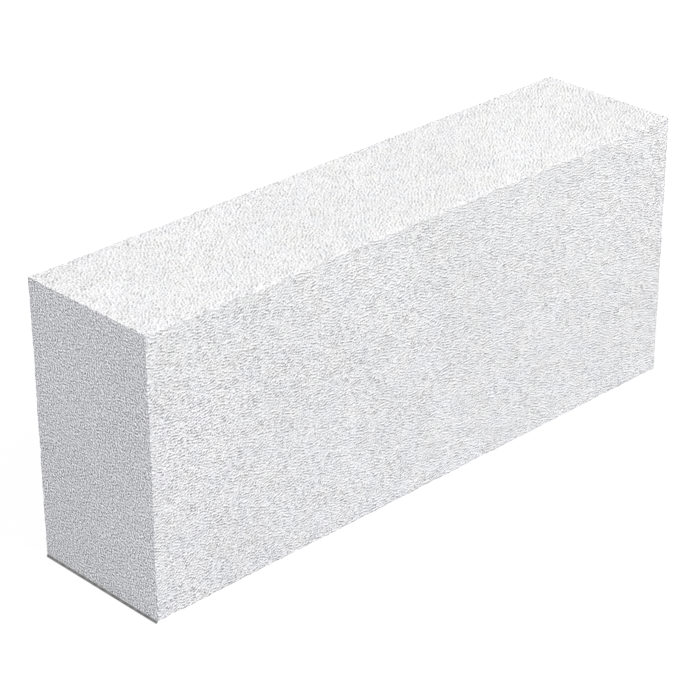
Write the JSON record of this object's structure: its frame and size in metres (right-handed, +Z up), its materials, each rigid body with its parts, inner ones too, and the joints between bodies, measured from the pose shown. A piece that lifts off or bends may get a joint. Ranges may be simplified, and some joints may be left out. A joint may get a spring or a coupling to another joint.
{
  "type": "aerated concrete block",
  "caption": "Solid rectangular wall block of pale aerated concrete with flat wire-cut faces and slightly rubbed arrises, standing on its bed face.",
  "frame": {"origin": "centre of the lower bed face, on which the block stands", "axes": "+X along the length of the block, from head joint to head joint, +Y through the thickness of the wall, +Z up"},
  "size_m": [0.6, 0.14, 0.25],
  "materials": {
    "aerated_concrete": "matt wire-cut concrete with fine scaly grain and open pores"
  },
  "bodies": {
    "root": {"block": "aerated_concrete"}
  },
  "joints": []
}
